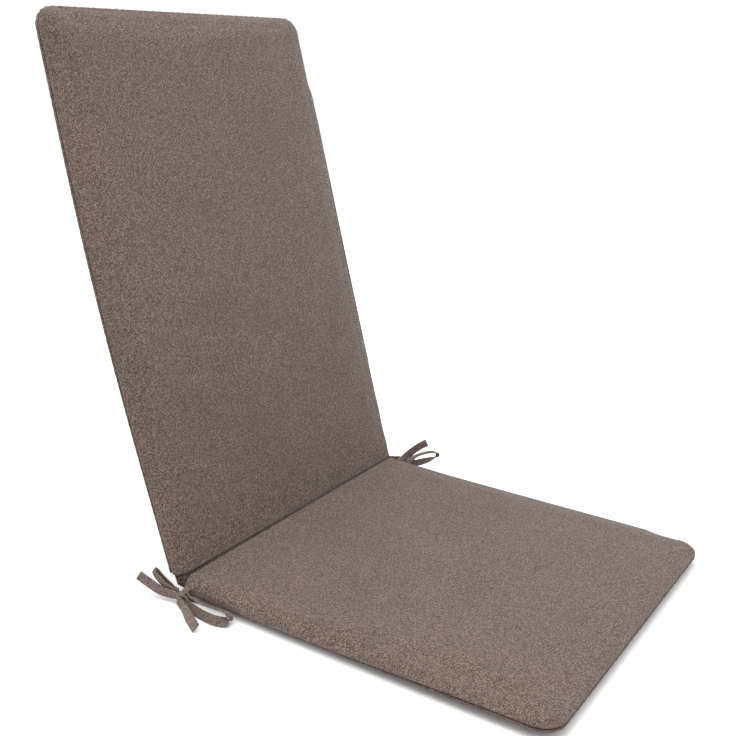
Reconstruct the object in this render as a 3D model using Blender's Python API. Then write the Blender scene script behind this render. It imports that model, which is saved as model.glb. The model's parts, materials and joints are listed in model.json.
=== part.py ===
"""A high-back chair pad: a seat panel and a back panel joined by a sewn fold, with a tie bow at each end.

Metres, +Z up, the front towards -Y, +X to the right of someone who faces the pad from the front.
The origin is the centre of the seat's underside.
Both panels are made by the same functions in a panel frame: x runs along the fold, y away from it and z
towards the face that is sat on, with the fold's axis as its origin. The seat lies along -y of that frame
and the back along +y.
"""

import math

import bmesh
import bpy
from mathutils import Matrix, Vector

# Panels
PAD_WIDTH = 0.500
SEAT_LENGTH = 0.500
BACK_LENGTH = 0.700
PAD_THICKNESS = 0.030
CORNER_RADIUS = 0.028
FOLD_CORNER_RADIUS = 0.012
FABRIC_THICKNESS = 0.0010
CLEARANCE = 0.0003

# Fold
BACK_LEAN = math.radians(16.5)
FACE_GAP = 0.0005
FOLD_END_DEPTH = 0.020
FOLD_SEAM_RADIUS = 0.0007
FOLD_GAP = FOLD_SEAM_RADIUS + CLEARANCE

# Zip fasteners, one in the +X side seam of each panel
ZIP_FROM_FOLD = 0.075
SEAT_ZIP_FROM_FREE_END = 0.085
BACK_ZIP_FROM_FREE_END = 0.125
ZIP_END_ROOM = 0.0020
OPENING_ROOM = 0.0008
CUT_BEYOND = 0.0100
ZIP_TAPE_THICKNESS = 0.0006
ZIP_TAPE_REACH = 0.0080
COIL_WIDTH = 0.0020
COIL_HEIGHT = 0.0024
SLIDER_LENGTH = 0.0090
SLIDER_WALL = 0.0010
SLIDER_LIP = 0.0013
BRIDGE_MIDDLE = 0.0014
BRIDGE_POST = 0.0008
BRIDGE_HALF_WIDTH = 0.0008
PULL_BAR = 0.0009
PULL_ARM = 0.0010
PULL_HALF_WIDTH = 0.0024
PULL_LENGTH = 0.0200
STOP_LENGTH = 0.0030
STOP_THICKNESS = 0.0008

# Ties
TAPE_WIDTH = 0.0100
TAPE_THICKNESS = 0.0018
KNOT_SIZE = (0.0120, 0.0150, 0.0130)
KNOT_FROM_SIDE = 0.0120
KNOT_FROM_FOLD = (-0.0100, -0.0090)
ROOT_WIDTH = 0.0090

# Facets
ROUND_STEPS = 6
CORNER_STEPS = 6
SEAM_SIDES = 8
TAPE_STEPS = 20

HALF_WIDTH = PAD_WIDTH / 2
HALF_THICKNESS = PAD_THICKNESS / 2
FOLD_Y = SEAT_LENGTH / 2
FOLD_Z = PAD_THICKNESS + FACE_GAP
MIDDLE_Z = -FACE_GAP - HALF_THICKNESS
FLAT_TO_REST = math.pi / 2 - BACK_LEAN
SEAT = -1
BACK = 1


def clear_scene():
    for old in list(bpy.data.objects):
        bpy.data.objects.remove(old, do_unlink=True)


def make_material(name, colour, roughness, metallic=0.0):
    material = bpy.data.materials.new(name)
    material.use_nodes = True
    shader = material.node_tree.nodes["Principled BSDF"]
    shader.inputs["Base Color"].default_value = (*colour, 1.0)
    shader.inputs["Roughness"].default_value = roughness
    shader.inputs["Metallic"].default_value = metallic
    material.diffuse_color = (*colour, 1.0)
    return material


def make_empty(name, location, rotation_x=0.0, parent=None):
    empty = bpy.data.objects.new(name, None)
    bpy.context.scene.collection.objects.link(empty)
    empty.location = location
    empty.rotation_euler = (rotation_x, 0.0, 0.0)
    empty.parent = parent
    return empty


def link_mesh(name, mesh, parent=None):
    """An object that holds this mesh, with its faces turned outwards."""
    bmesh.ops.recalc_face_normals(mesh, faces=mesh.faces)
    data = bpy.data.meshes.new(name)
    mesh.to_mesh(data)
    mesh.free()
    made = bpy.data.objects.new(name, data)
    bpy.context.scene.collection.objects.link(made)
    made.parent = parent
    return made


def make_object(name, mesh, material, parent=None, smooth=True):
    made = link_mesh(name, mesh, parent)
    if smooth:
        made.data.shade_smooth()
        made.data.set_sharp_from_angle(angle=math.radians(35))
    made.data.materials.append(material)
    return made


def add_boolean(target, operation, other):
    modifier = target.modifiers.new(other.name, "BOOLEAN")
    modifier.operation = operation
    modifier.solver = "EXACT"
    modifier.object = other


def add_ring(mesh, points):
    return [mesh.verts.new(point) for point in points]


def loft(rings):
    """One closed skin over rings of equal point counts, capped at both ends."""
    mesh = bmesh.new()
    loops = [add_ring(mesh, ring) for ring in rings]
    count = len(loops[0])
    for lower, upper in zip(loops, loops[1:]):
        for i in range(count):
            j = (i + 1) % count
            mesh.faces.new((lower[i], lower[j], upper[j], upper[i]))
    mesh.faces.new(loops[0])
    mesh.faces.new(loops[-1])
    return mesh


def box(low, high):
    mesh = bmesh.new()
    bmesh.ops.create_cube(mesh, size=1.0)
    size = Vector(high) - Vector(low)
    centre = (Vector(high) + Vector(low)) / 2
    placed = Matrix.Translation(centre) @ Matrix.Diagonal((*size, 1.0))
    bmesh.ops.transform(mesh, matrix=placed, verts=mesh.verts)
    return mesh


def extrude_section(section, start, end):
    """A prism along y from a section given as (x, z) points."""
    return loft([[(x, y, z) for x, z in section] for y in (start, end)])


# --- Panels ------------------------------------------------------------------------------------------


def round_fall(height):
    """How far the panel's half-round side falls back at this height from its middle."""
    return HALF_THICKNESS - math.sqrt(HALF_THICKNESS**2 - height**2)


def corner_arc(centre, radius, start):
    """A quarter circle of plan points, anticlockwise from the start angle."""
    for step in range(CORNER_STEPS + 1):
        angle = start + step * math.pi / 2 / CORNER_STEPS
        yield centre[0] + radius * math.cos(angle), centre[1] + radius * math.sin(angle)


def outline(inset, fold_inset, length, side, z):
    """The panel's plan at one level, with larger round corners at its free end than at the fold."""
    half = HALF_WIDTH - inset
    free_radius = CORNER_RADIUS - inset
    fold_radius = FOLD_CORNER_RADIUS
    far = length - inset - free_radius
    near = fold_inset + fold_radius
    plan = [
        *corner_arc((half - free_radius, far), free_radius, 0.0),
        *corner_arc((-half + free_radius, far), free_radius, math.pi / 2),
        *corner_arc((-half + fold_radius, near), fold_radius, math.pi),
        *corner_arc((half - fold_radius, near), fold_radius, math.pi * 3 / 2),
    ]
    return [(x, side * y, z) for x, y in plan]


def panel_ring(angle, depth, length, side):
    """One level of the panel's rounded skin, at depth below its outer surface.

    The sides are half circles. At the fold the face comes right up to the fold's axis, and the other side
    curves away from it, so that the panel can lie flat, stand up or fold over.
    """
    radius = HALF_THICKNESS - depth
    height = radius * math.sin(angle)
    fall = (radius - height) / (2 * radius)
    curve = FOLD_END_DEPTH * (1 - math.sqrt(max(0.0, 1 - fall * fall)))
    inset = depth + radius * (1 - math.cos(angle))
    return outline(inset, FOLD_GAP + depth + curve, length, side, MIDDLE_Z + height)


def panel_solid(length, side, depth):
    """A whole panel, such as the foam, with its surface at depth below the outer one."""
    angles = [math.radians(-90 + 90 * step / ROUND_STEPS) for step in range(2 * ROUND_STEPS + 1)]
    return loft([panel_ring(angle, depth, length, side) for angle in angles])


def half_cover(length, side, up):
    """One fabric panel of the cover: a shallow tray from the side seam round to its face."""
    seam_angle = math.asin(CLEARANCE / 2 / (HALF_THICKNESS - FABRIC_THICKNESS))
    sweep = math.pi / 2 - seam_angle
    angles = [seam_angle + sweep * step / ROUND_STEPS for step in range(ROUND_STEPS + 1)]
    outer = [panel_ring(up * angle, 0.0, length, side) for angle in reversed(angles)]
    inner = [panel_ring(up * angle, FABRIC_THICKNESS, length, side) for angle in angles]
    return loft(outer + inner)


def cut(target, low, high, parent):
    """Cuts a box out of the target with a Boolean whose cutter stays hidden."""
    cutter = link_mesh(target.name + "_cutter", box(low, high), parent)
    cutter.hide_render = True
    cutter.display_type = "WIRE"
    add_boolean(target, "DIFFERENCE", cutter)


# --- Zip fasteners -----------------------------------------------------------------------------------


SLIDER_HALF_GAP = COIL_HEIGHT / 2 + CLEARANCE
SLIDER_HALF_WIDTH = 2 * CLEARANCE + COIL_WIDTH + CLEARANCE + SLIDER_LIP
OPENING_HALF_HEIGHT = SLIDER_HALF_WIDTH + OPENING_ROOM
FACET_SAG = HALF_THICKNESS * (1 - math.cos(math.pi / 4 / ROUND_STEPS))
TAPE_FACE_DEPTH = round_fall(ZIP_TAPE_REACH) + FABRIC_THICKNESS + CLEARANCE + FACET_SAG
ZIP_X = HALF_WIDTH - TAPE_FACE_DEPTH - ZIP_TAPE_THICKNESS / 2
PULL_X = HALF_WIDTH + CLEARANCE + PULL_BAR / 2


def stringer_section(up):
    """Half of the zip: the coil beside the middle line, and the tape that carries it."""
    coil_in = 2 * CLEARANCE
    coil_out = coil_in + COIL_WIDTH
    half_coil = COIL_HEIGHT / 2
    half_tape = ZIP_TAPE_THICKNESS / 2
    section = [
        (half_coil, coil_in),
        (half_coil, coil_out),
        (half_tape, coil_out),
        (half_tape, ZIP_TAPE_REACH),
        (-half_tape, ZIP_TAPE_REACH),
        (-half_tape, coil_out),
        (-half_coil, coil_out),
        (-half_coil, coil_in),
    ]
    return [(ZIP_X + x, MIDDLE_Z + up * z) for x, z in section]


def slider_section():
    """The slider's body: two plates with turned lips, joined by the post between the coils."""
    post = CLEARANCE
    gap = SLIDER_HALF_GAP
    wall = gap + SLIDER_WALL
    lip_top = ZIP_TAPE_THICKNESS / 2 + CLEARANCE
    lip_in = SLIDER_HALF_WIDTH - SLIDER_LIP
    outer = SLIDER_HALF_WIDTH
    quarter = [(gap, post), (gap, lip_in), (lip_top, lip_in), (lip_top, outer), (wall, outer)]
    upper_out = quarter
    lower_out = [(x, -z) for x, z in reversed(quarter)]
    lower_in = [(-x, -z) for x, z in quarter]
    upper_in = [(-x, z) for x, z in reversed(quarter)]
    return [(ZIP_X + x, MIDDLE_Z + z) for x, z in upper_out + lower_out + lower_in + upper_in]


def union_into(mesh, parts, name):
    """Joins closed shapes that overlap into one body."""
    base = link_mesh(name + "_base", mesh)
    helpers = [base]
    for number, part in enumerate(parts):
        helper = link_mesh(f"{name}_part_{number}", part)
        helpers.append(helper)
        add_boolean(base, "UNION", helper)
    bpy.context.view_layer.update()
    evaluated = base.evaluated_get(bpy.context.evaluated_depsgraph_get())
    joined = bmesh.new()
    joined.from_mesh(evaluated.to_mesh())
    evaluated.to_mesh_clear()
    for helper in helpers:
        bpy.data.objects.remove(helper, do_unlink=True)
    return joined


def slider_mesh():
    """The slider with the bridge over its pull, at y = 0 of its own place along the zip."""
    half = SLIDER_LENGTH / 2
    body = extrude_section(slider_section(), -half, half)
    plate_top = ZIP_X + SLIDER_HALF_GAP + SLIDER_WALL
    bridge_low = PULL_X + PULL_BAR / 2 + CLEARANCE
    bridge_top = bridge_low + BRIDGE_POST
    low_z = MIDDLE_Z - BRIDGE_HALF_WIDTH
    high_z = MIDDLE_Z + BRIDGE_HALF_WIDTH
    sunk = plate_top - SLIDER_WALL / 2
    posts = [
        box((sunk, middle - BRIDGE_POST / 2, low_z), (bridge_top, middle + BRIDGE_POST / 2, high_z))
        for middle in (-BRIDGE_MIDDLE, BRIDGE_MIDDLE)
    ]
    bar = box((bridge_low, -BRIDGE_MIDDLE, low_z), (bridge_top, BRIDGE_MIDDLE, high_z))
    return union_into(body, [*posts, bar], "slider")


def pull_mesh(side):
    """The pull: a bar under the bridge, two arms past it and a flat tab, lying towards the fold."""
    towards_fold = -side
    half_bar = PULL_BAR / 2
    arm_middle = BRIDGE_HALF_WIDTH + CLEARANCE + PULL_ARM / 2
    bridge_corner = math.hypot(BRIDGE_MIDDLE + BRIDGE_POST / 2, half_bar + CLEARANCE + BRIDGE_POST)
    tab_start = bridge_corner + CLEARANCE

    def span(y_from, y_to, z_from, z_to):
        near, far = sorted((towards_fold * y_from, towards_fold * y_to))
        low = (PULL_X - half_bar, near, MIDDLE_Z + z_from)
        high = (PULL_X + half_bar, far, MIDDLE_Z + z_to)
        return box(low, high)

    bar = span(-half_bar, half_bar, -arm_middle, arm_middle)
    arms = [
        span(-half_bar / 2, tab_start + half_bar, middle - PULL_ARM / 2, middle + PULL_ARM / 2)
        for middle in (-arm_middle, arm_middle)
    ]
    tab = span(tab_start, PULL_LENGTH, -PULL_HALF_WIDTH, PULL_HALF_WIDTH)
    return union_into(bar, [*arms, tab], "pull")


def make_zip(prefix, free_end, side, frame, materials):
    """A closed zip in the panel's +X side seam. Its slider rests at the end nearer the fold."""
    start = side * ZIP_FROM_FOLD
    end = side * free_end
    for name, up in (("upper", 1), ("lower", -1)):
        stringer = extrude_section(stringer_section(up), start, end)
        make_object(f"{prefix}_zip_{name}_stringer", stringer, materials["zip_tape"], frame, smooth=False)
    outside = ZIP_X + SLIDER_HALF_GAP
    stop_half = 2 * CLEARANCE + COIL_WIDTH
    for name, place in (("bottom", start), ("top", end - side * STOP_LENGTH)):
        near, far = sorted((place, place + side * STOP_LENGTH))
        low = (outside, near, MIDDLE_Z - stop_half)
        high = (outside + STOP_THICKNESS, far, MIDDLE_Z + stop_half)
        make_object(f"{prefix}_zip_{name}_stop", box(low, high), materials["zip_metal"], frame, smooth=False)
    rest_y = start + side * (STOP_LENGTH + SLIDER_LENGTH / 2 + CLEARANCE)
    slider = make_object(f"{prefix}_zip_slider", slider_mesh(), materials["zip_metal"], frame, smooth=False)
    slider.location = (0.0, rest_y, 0.0)
    hinge = make_empty(f"{prefix}_zip_pull_axis", (PULL_X, rest_y, MIDDLE_Z), parent=frame)
    pull = make_object(f"{prefix}_zip_pull", pull_mesh(side), materials["zip_metal"], hinge, smooth=False)
    pull.location = (-PULL_X, 0.0, -MIDDLE_Z)


def make_panel(prefix, faces, length, zip_end, side, frame, materials):
    """The foam slab and the two halves of the cover round it, open at the side for the zip."""
    foam = make_object(f"{prefix}_foam", panel_solid(length, side, FABRIC_THICKNESS + CLEARANCE),
                       materials["foam"], frame)
    covers = [
        make_object(f"{prefix}_cover_{name}", half_cover(length, side, up), materials["cover"], frame)
        for name, up in zip(faces, (1, -1))
    ]
    near, far = sorted((side * (ZIP_FROM_FOLD - ZIP_END_ROOM), side * (zip_end + ZIP_END_ROOM)))
    outside = HALF_WIDTH + CUT_BEYOND
    room = ZIP_X - SLIDER_HALF_GAP - SLIDER_WALL - CLEARANCE
    reach = ZIP_TAPE_REACH + 2 * CLEARANCE
    cut(foam, (room, near, MIDDLE_Z - reach), (outside, far, MIDDLE_Z + reach), frame)
    inside = ZIP_X - HALF_THICKNESS
    low = (inside, near, MIDDLE_Z - OPENING_HALF_HEIGHT)
    high = (outside, far, MIDDLE_Z + OPENING_HALF_HEIGHT)
    for cover in covers:
        cut(cover, low, high, frame)


def make_fold_seam(frame, materials):
    """The sewn line along the fold's axis that joins the covers and that the back turns on."""
    half = HALF_WIDTH - FOLD_CORNER_RADIUS
    turns = [step * math.tau / SEAM_SIDES for step in range(SEAM_SIDES)]
    section = [(FOLD_SEAM_RADIUS * math.cos(turn), FOLD_SEAM_RADIUS * math.sin(turn)) for turn in turns]
    rings = [[(x, y, z) for y, z in section] for x in (-half, half)]
    make_object("fold_seam", loft(rings), materials["cover"], frame, smooth=False)


# --- Ties --------------------------------------------------------------------------------------------


def smooth_path(points, steps):
    """Points along a Catmull-Rom curve through the given ones."""
    padded = [points[0] * 2 - points[1], *points, points[-1] * 2 - points[-2]]
    path = []
    spans = len(points) - 1
    for number in range(steps + 1):
        place = number * spans / steps
        i = min(int(place), spans - 1)
        t = place - i
        a, b, c, d = padded[i : i + 4]
        square = (2 * a - 5 * b + 4 * c - d) * t**2
        cube = (3 * b - a - 3 * c + d) * t**3
        path.append(0.5 * (2 * b + (c - a) * t + square + cube))
    return path


def tape(points, widths, steps=TAPE_STEPS):
    """A flat tape along a smooth path. widths gives the direction across it at each point."""
    path = smooth_path(points, steps)
    across = smooth_path(widths, steps)
    between = [later - earlier for earlier, later in zip(path, path[2:])]
    tangents = [points[1] - points[0], *between, points[-1] - points[-2]]
    rings = []
    for centre, wide, along in zip(path, across, tangents):
        along = along.normalized()
        wide = (wide - along * wide.dot(along)).normalized() * TAPE_WIDTH / 2
        thick = along.cross(wide).normalized() * TAPE_THICKNESS / 2
        high, low = centre + thick, centre - thick
        rings.append([high + wide, high - wide, low - wide, low + wide])
    return loft(rings)


def tie_points(side, values):
    """World points from (out from the side, back from the fold, up from the fold) in millimetres."""
    return [
        Vector((side * (HALF_WIDTH + out / 1000), FOLD_Y + back / 1000, FOLD_Z + up / 1000))
        for out, back, up in values
    ]


def directions(side, values):
    return [Vector((side * out, back, up)) for out, back, up in values]


# Each route runs from the knot. Numbers are millimetres out from the panel's side, back from the fold and
# up from it, then the direction across the tape at the same points.
LEFT = -1
RIGHT = 1
LOOPS_AND_TAILS = {
    "left_tie_front_loop": (
        LEFT,
        [(10.0, -18.0, -7.0), (10.3, -24.0, -6.9), (12.0, -42.0, -3.0), (12.0, -68.0, -3.0), (11.5, -90.0, -4.5),
         (11.5, -99.0, -10.5), (12.5, -91.0, -18.0), (13.5, -70.0, -21.5), (14.0, -44.0, -19.0),
         (13.5, -25.0, -11.8), (13.3, -18.0, -11.5)],
        [(0.1, 0.0, 1.0), (0.3, 0.0, 0.9), (0.5, 0.1, 0.8), (0.6, 0.1, 0.7), (0.8, 0.0, 0.5),
         (1.0, 0.0, 0.0), (0.8, 0.2, -0.5), (0.6, 0.1, -0.8), (0.6, 0.1, -0.8),
         (0.3, 0.0, -0.9), (0.1, 0.0, -1.0)],
    ),
    "left_tie_front_tail": (
        LEFT,
        [(19.4, -11.0, -10.0), (20.5, -20.0, -12.5), (26.0, -42.0, -19.0), (35.0, -66.0, -25.0)],
        [(0.0, -0.3, 0.95), (0.3, 0.0, 0.9), (0.8, 0.3, 0.4), (0.9, 0.35, 0.2)],
    ),
    "left_tie_rear_loop": (
        LEFT,
        [(8.0, -2.1, -7.0), (8.0, 4.0, -6.9), (7.8, 14.0, 3.0), (7.6, 26.0, 15.0), (8.0, 34.0, 23.0),
         (10.0, 37.0, 27.0), (12.0, 33.0, 24.5), (12.2, 24.0, 15.5), (11.8, 13.0, 4.0),
         (11.2, 4.0, -6.4), (11.2, -2.1, -6.5)],
        [(0.1, 0.0, 1.0), (0.1, -0.2, 1.0), (0.2, -0.6, 0.8), (0.2, -0.6, 0.8), (0.2, -0.6, 0.8),
         (0.2, -0.7, 0.7), (0.2, -0.6, 0.8), (0.2, -0.6, 0.8), (0.2, -0.6, 0.8),
         (0.1, -0.2, 1.0), (0.1, 0.0, 1.0)],
    ),
    "left_tie_rear_tail": (
        LEFT,
        [(14.4, -2.1, -8.0), (14.8, 5.0, -7.8), (17.0, 18.0, -1.0), (18.5, 31.0, 5.0), (20.0, 43.0, 10.5)],
        [(0.1, 0.0, 1.0), (0.2, -0.2, 0.9), (0.3, -0.4, 0.85), (0.3, -0.5, 0.8), (0.3, -0.5, 0.8)],
    ),
    "right_tie_front_loop": (
        RIGHT,
        [(10.2, -18.0, -7.0), (10.8, -23.0, -6.9), (21.0, -32.0, 0.0), (32.0, -45.0, 5.0), (40.0, -55.0, 6.0),
         (42.5, -58.0, 1.0), (39.0, -53.0, -6.0), (30.0, -42.0, -11.0), (21.0, -31.0, -13.5),
         (14.4, -23.0, -11.9), (13.8, -18.0, -11.5)],
        [(0.1, 0.0, 1.0), (0.2, 0.0, 0.9), (0.5, 0.3, 0.8), (0.4, 0.4, 0.8), (0.6, 0.6, 0.5),
         (0.8, 0.6, 0.0), (0.6, 0.5, -0.6), (0.3, 0.4, -0.8), (0.3, 0.3, -0.9),
         (0.2, 0.0, -0.9), (0.1, 0.0, -1.0)],
    ),
    "right_tie_front_tail": (
        RIGHT,
        [(19.4, -9.0, -7.0), (24.0, -13.0, -3.0), (33.0, -25.0, 11.0), (45.0, -36.5, 20.0)],
        [(0.0, 0.7, 0.7), (-0.2, 0.5, 0.7), (-0.4, 0.2, 0.85), (-0.4, 0.1, 0.9)],
    ),
    "right_tie_rear_loop": (
        RIGHT,
        [(8.0, -2.1, -7.0), (8.0, 4.0, -7.0), (9.0, 14.0, -3.0), (10.0, 30.0, 1.5), (11.5, 45.0, 3.0),
         (14.5, 51.0, -1.0), (16.5, 45.0, -5.0), (15.5, 30.0, -7.5), (13.0, 14.0, -8.0),
         (11.2, 4.0, -7.6), (11.2, -2.1, -7.5)],
        [(0.1, 0.0, 1.0), (0.1, 0.0, 1.0), (0.2, -0.3, 0.9), (0.2, -0.2, 0.9), (0.2, -0.1, 1.0),
         (0.1, 0.0, 1.0), (0.2, 0.1, 1.0), (0.2, -0.2, 0.9), (0.2, -0.3, 0.9),
         (0.1, 0.0, 1.0), (0.1, 0.0, 1.0)],
    ),
    "right_tie_rear_tail": (
        RIGHT,
        [(19.4, -7.0, -12.0), (22.6, -2.0, -15.0), (31.0, 12.0, -20.0), (37.0, 29.0, -25.0)],
        [(0.0, 0.5, 0.85), (0.3, 0.3, 0.85), (0.8, -0.3, 0.5), (0.9, -0.4, 0.1)],
    ),
}


def make_knot(name, side, materials):
    """The bow's knot as a rounded block, a little beyond the panel's side."""
    back, up = KNOT_FROM_FOLD
    centre = Vector((side * (HALF_WIDTH + KNOT_FROM_SIDE), FOLD_Y + back, FOLD_Z + up))
    mesh = box(centre - Vector(KNOT_SIZE) / 2, centre + Vector(KNOT_SIZE) / 2)
    edges = list(mesh.edges)
    bmesh.ops.bevel(mesh, geom=edges, offset=min(KNOT_SIZE) / 5, segments=2, affect="EDGES", profile=0.5)
    make_object(name, mesh, materials["tie"])


def make_root(name, side, materials):
    """The stub of both tapes between the fold's seam and the knot."""
    knot_in = KNOT_FROM_SIDE - KNOT_SIZE[0] / 2 - CLEARANCE
    above_middle = KNOT_FROM_FOLD[1] - MIDDLE_Z - TAPE_THICKNESS
    seam_out = CLEARANCE - round_fall(above_middle)
    ends = sorted((side * (HALF_WIDTH + seam_out), side * (HALF_WIDTH + knot_in)))
    y = FOLD_Y + KNOT_FROM_FOLD[0]
    z = FOLD_Z + KNOT_FROM_FOLD[1]
    low = (ends[0], y - ROOT_WIDTH / 2, z - TAPE_THICKNESS)
    high = (ends[1], y + ROOT_WIDTH / 2, z + TAPE_THICKNESS)
    make_object(name, box(low, high), materials["tie"], smooth=False)


def make_ties(materials):
    for name, (side, route, across) in LOOPS_AND_TAILS.items():
        mesh = tape(tie_points(side, route), directions(side, across))
        make_object(name, mesh, materials["tie"], smooth=False)
    for word, side in (("left", LEFT), ("right", RIGHT)):
        make_knot(f"{word}_tie_knot", side, materials)
        make_root(f"{word}_tie_root", side, materials)


def build():
    clear_scene()
    materials = {
        "cover": make_material("cover_fabric", (0.17, 0.135, 0.115), 0.9),
        "foam": make_material("foam", (0.80, 0.76, 0.66), 0.95),
        "tie": make_material("tie_tape", (0.18, 0.145, 0.125), 0.9),
        "zip_tape": make_material("zip_tape", (0.13, 0.105, 0.09), 0.85),
        "zip_metal": make_material("zip_metal", (0.42, 0.40, 0.37), 0.35, 1.0),
    }
    seat_frame = make_empty("seat_frame", (0.0, FOLD_Y, FOLD_Z))
    back_frame = make_empty("back_frame", (0.0, FOLD_Y, FOLD_Z), FLAT_TO_REST)
    seat_zip_end = SEAT_LENGTH - SEAT_ZIP_FROM_FREE_END
    back_zip_end = BACK_LENGTH - BACK_ZIP_FROM_FREE_END
    make_panel("seat", ("top", "underside"), SEAT_LENGTH, seat_zip_end, SEAT, seat_frame, materials)
    make_panel("back", ("front", "rear"), BACK_LENGTH, back_zip_end, BACK, back_frame, materials)
    make_zip("seat", seat_zip_end, SEAT, seat_frame, materials)
    make_zip("back", back_zip_end, BACK, back_frame, materials)
    make_fold_seam(seat_frame, materials)
    make_ties(materials)


build()
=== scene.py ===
"""Looks of the high-back chair pad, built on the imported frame."""

import json
import math

import bpy
import numpy as np
from mathutils import Matrix, Vector


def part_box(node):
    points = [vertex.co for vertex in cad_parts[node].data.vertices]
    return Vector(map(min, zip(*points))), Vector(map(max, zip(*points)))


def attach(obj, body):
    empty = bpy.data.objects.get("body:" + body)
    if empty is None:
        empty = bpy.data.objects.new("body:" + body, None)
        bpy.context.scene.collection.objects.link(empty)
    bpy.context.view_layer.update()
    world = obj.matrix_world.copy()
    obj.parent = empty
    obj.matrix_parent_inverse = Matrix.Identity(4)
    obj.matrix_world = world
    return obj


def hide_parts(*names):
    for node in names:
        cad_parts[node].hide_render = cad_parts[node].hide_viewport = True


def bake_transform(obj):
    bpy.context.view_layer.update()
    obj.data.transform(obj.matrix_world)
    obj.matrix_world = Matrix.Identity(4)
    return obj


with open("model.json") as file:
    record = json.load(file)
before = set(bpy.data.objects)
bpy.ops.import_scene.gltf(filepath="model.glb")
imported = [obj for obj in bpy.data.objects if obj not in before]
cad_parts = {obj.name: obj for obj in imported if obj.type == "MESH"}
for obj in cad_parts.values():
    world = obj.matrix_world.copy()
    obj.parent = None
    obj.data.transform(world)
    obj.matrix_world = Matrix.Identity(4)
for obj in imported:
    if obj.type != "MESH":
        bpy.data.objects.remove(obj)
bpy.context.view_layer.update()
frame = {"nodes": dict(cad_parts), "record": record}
nodes = frame["nodes"]
joints = {joint["name"]: joint for joint in frame["record"]["behaviour"]["joints"]}

# --- Sizes read from the frame -------------------------------------------------------------------

FOLD = Vector(joints["fold"]["pos_m"])
FLAT_TO_REST = math.radians(-joints["fold"]["range_deg"][0])
SEAT_LOW, SEAT_HIGH = (Vector(corner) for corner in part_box("seat_cover_underside"))
HALF_WIDTH = SEAT_HIGH.x
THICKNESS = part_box("seat_cover_top")[1][2] - SEAT_LOW.z
R = THICKNESS / 2
FACE_GAP = FOLD.z - THICKNESS - SEAT_LOW.z
MIDDLE_Z = -FACE_GAP - R
SEAT_LENGTH = FOLD.y - SEAT_LOW.y
BACK_WAY = Vector((0.0, math.cos(FLAT_TO_REST), math.sin(FLAT_TO_REST)))
BACK_LENGTH = max((v.co - FOLD).dot(BACK_WAY) for v in nodes["back_cover_rear"].data.vertices)
SEAT_FRAME = Matrix.Translation(FOLD)
BACK_FRAME = Matrix.Translation(FOLD) @ Matrix.Rotation(FLAT_TO_REST, 4, "X")

# --- Camera --------------------------------------------------------------------------------------

AZIMUTH = math.radians(-57.74)
ELEVATION = math.radians(17.49)
ROLL = math.radians(2.08)
FOCAL_SHARE = 1050 / 736
CAMERA_DISTANCE = 1.442
CAMERA_ASIDE = (0.0880, 0.0092)
CAMERA_TARGET = FOLD + Vector((0.0, 0.0, 0.2))


def make_camera():
    back = Vector((math.sin(AZIMUTH) * math.cos(ELEVATION), -math.cos(AZIMUTH) * math.cos(ELEVATION),
                   math.sin(ELEVATION)))
    level = Vector((math.cos(AZIMUTH), math.sin(AZIMUTH), 0.0))
    upright = back.cross(level)
    right = level * math.cos(ROLL) + upright * math.sin(ROLL)
    up = back.cross(right)
    place = CAMERA_TARGET + back * CAMERA_DISTANCE + right * CAMERA_ASIDE[0] + up * CAMERA_ASIDE[1]
    data = bpy.data.cameras.new("camera")
    data.sensor_width = 36.0
    data.lens = FOCAL_SHARE * data.sensor_width
    data.clip_start = 0.05
    camera = bpy.data.objects.new("camera", data)
    bpy.context.scene.collection.objects.link(camera)
    turned = Matrix((right, up, back)).transposed().to_4x4()
    camera.matrix_world = Matrix.Translation(place) @ turned
    bpy.context.scene.camera = camera


# --- Node helpers --------------------------------------------------------------------------------


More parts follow.
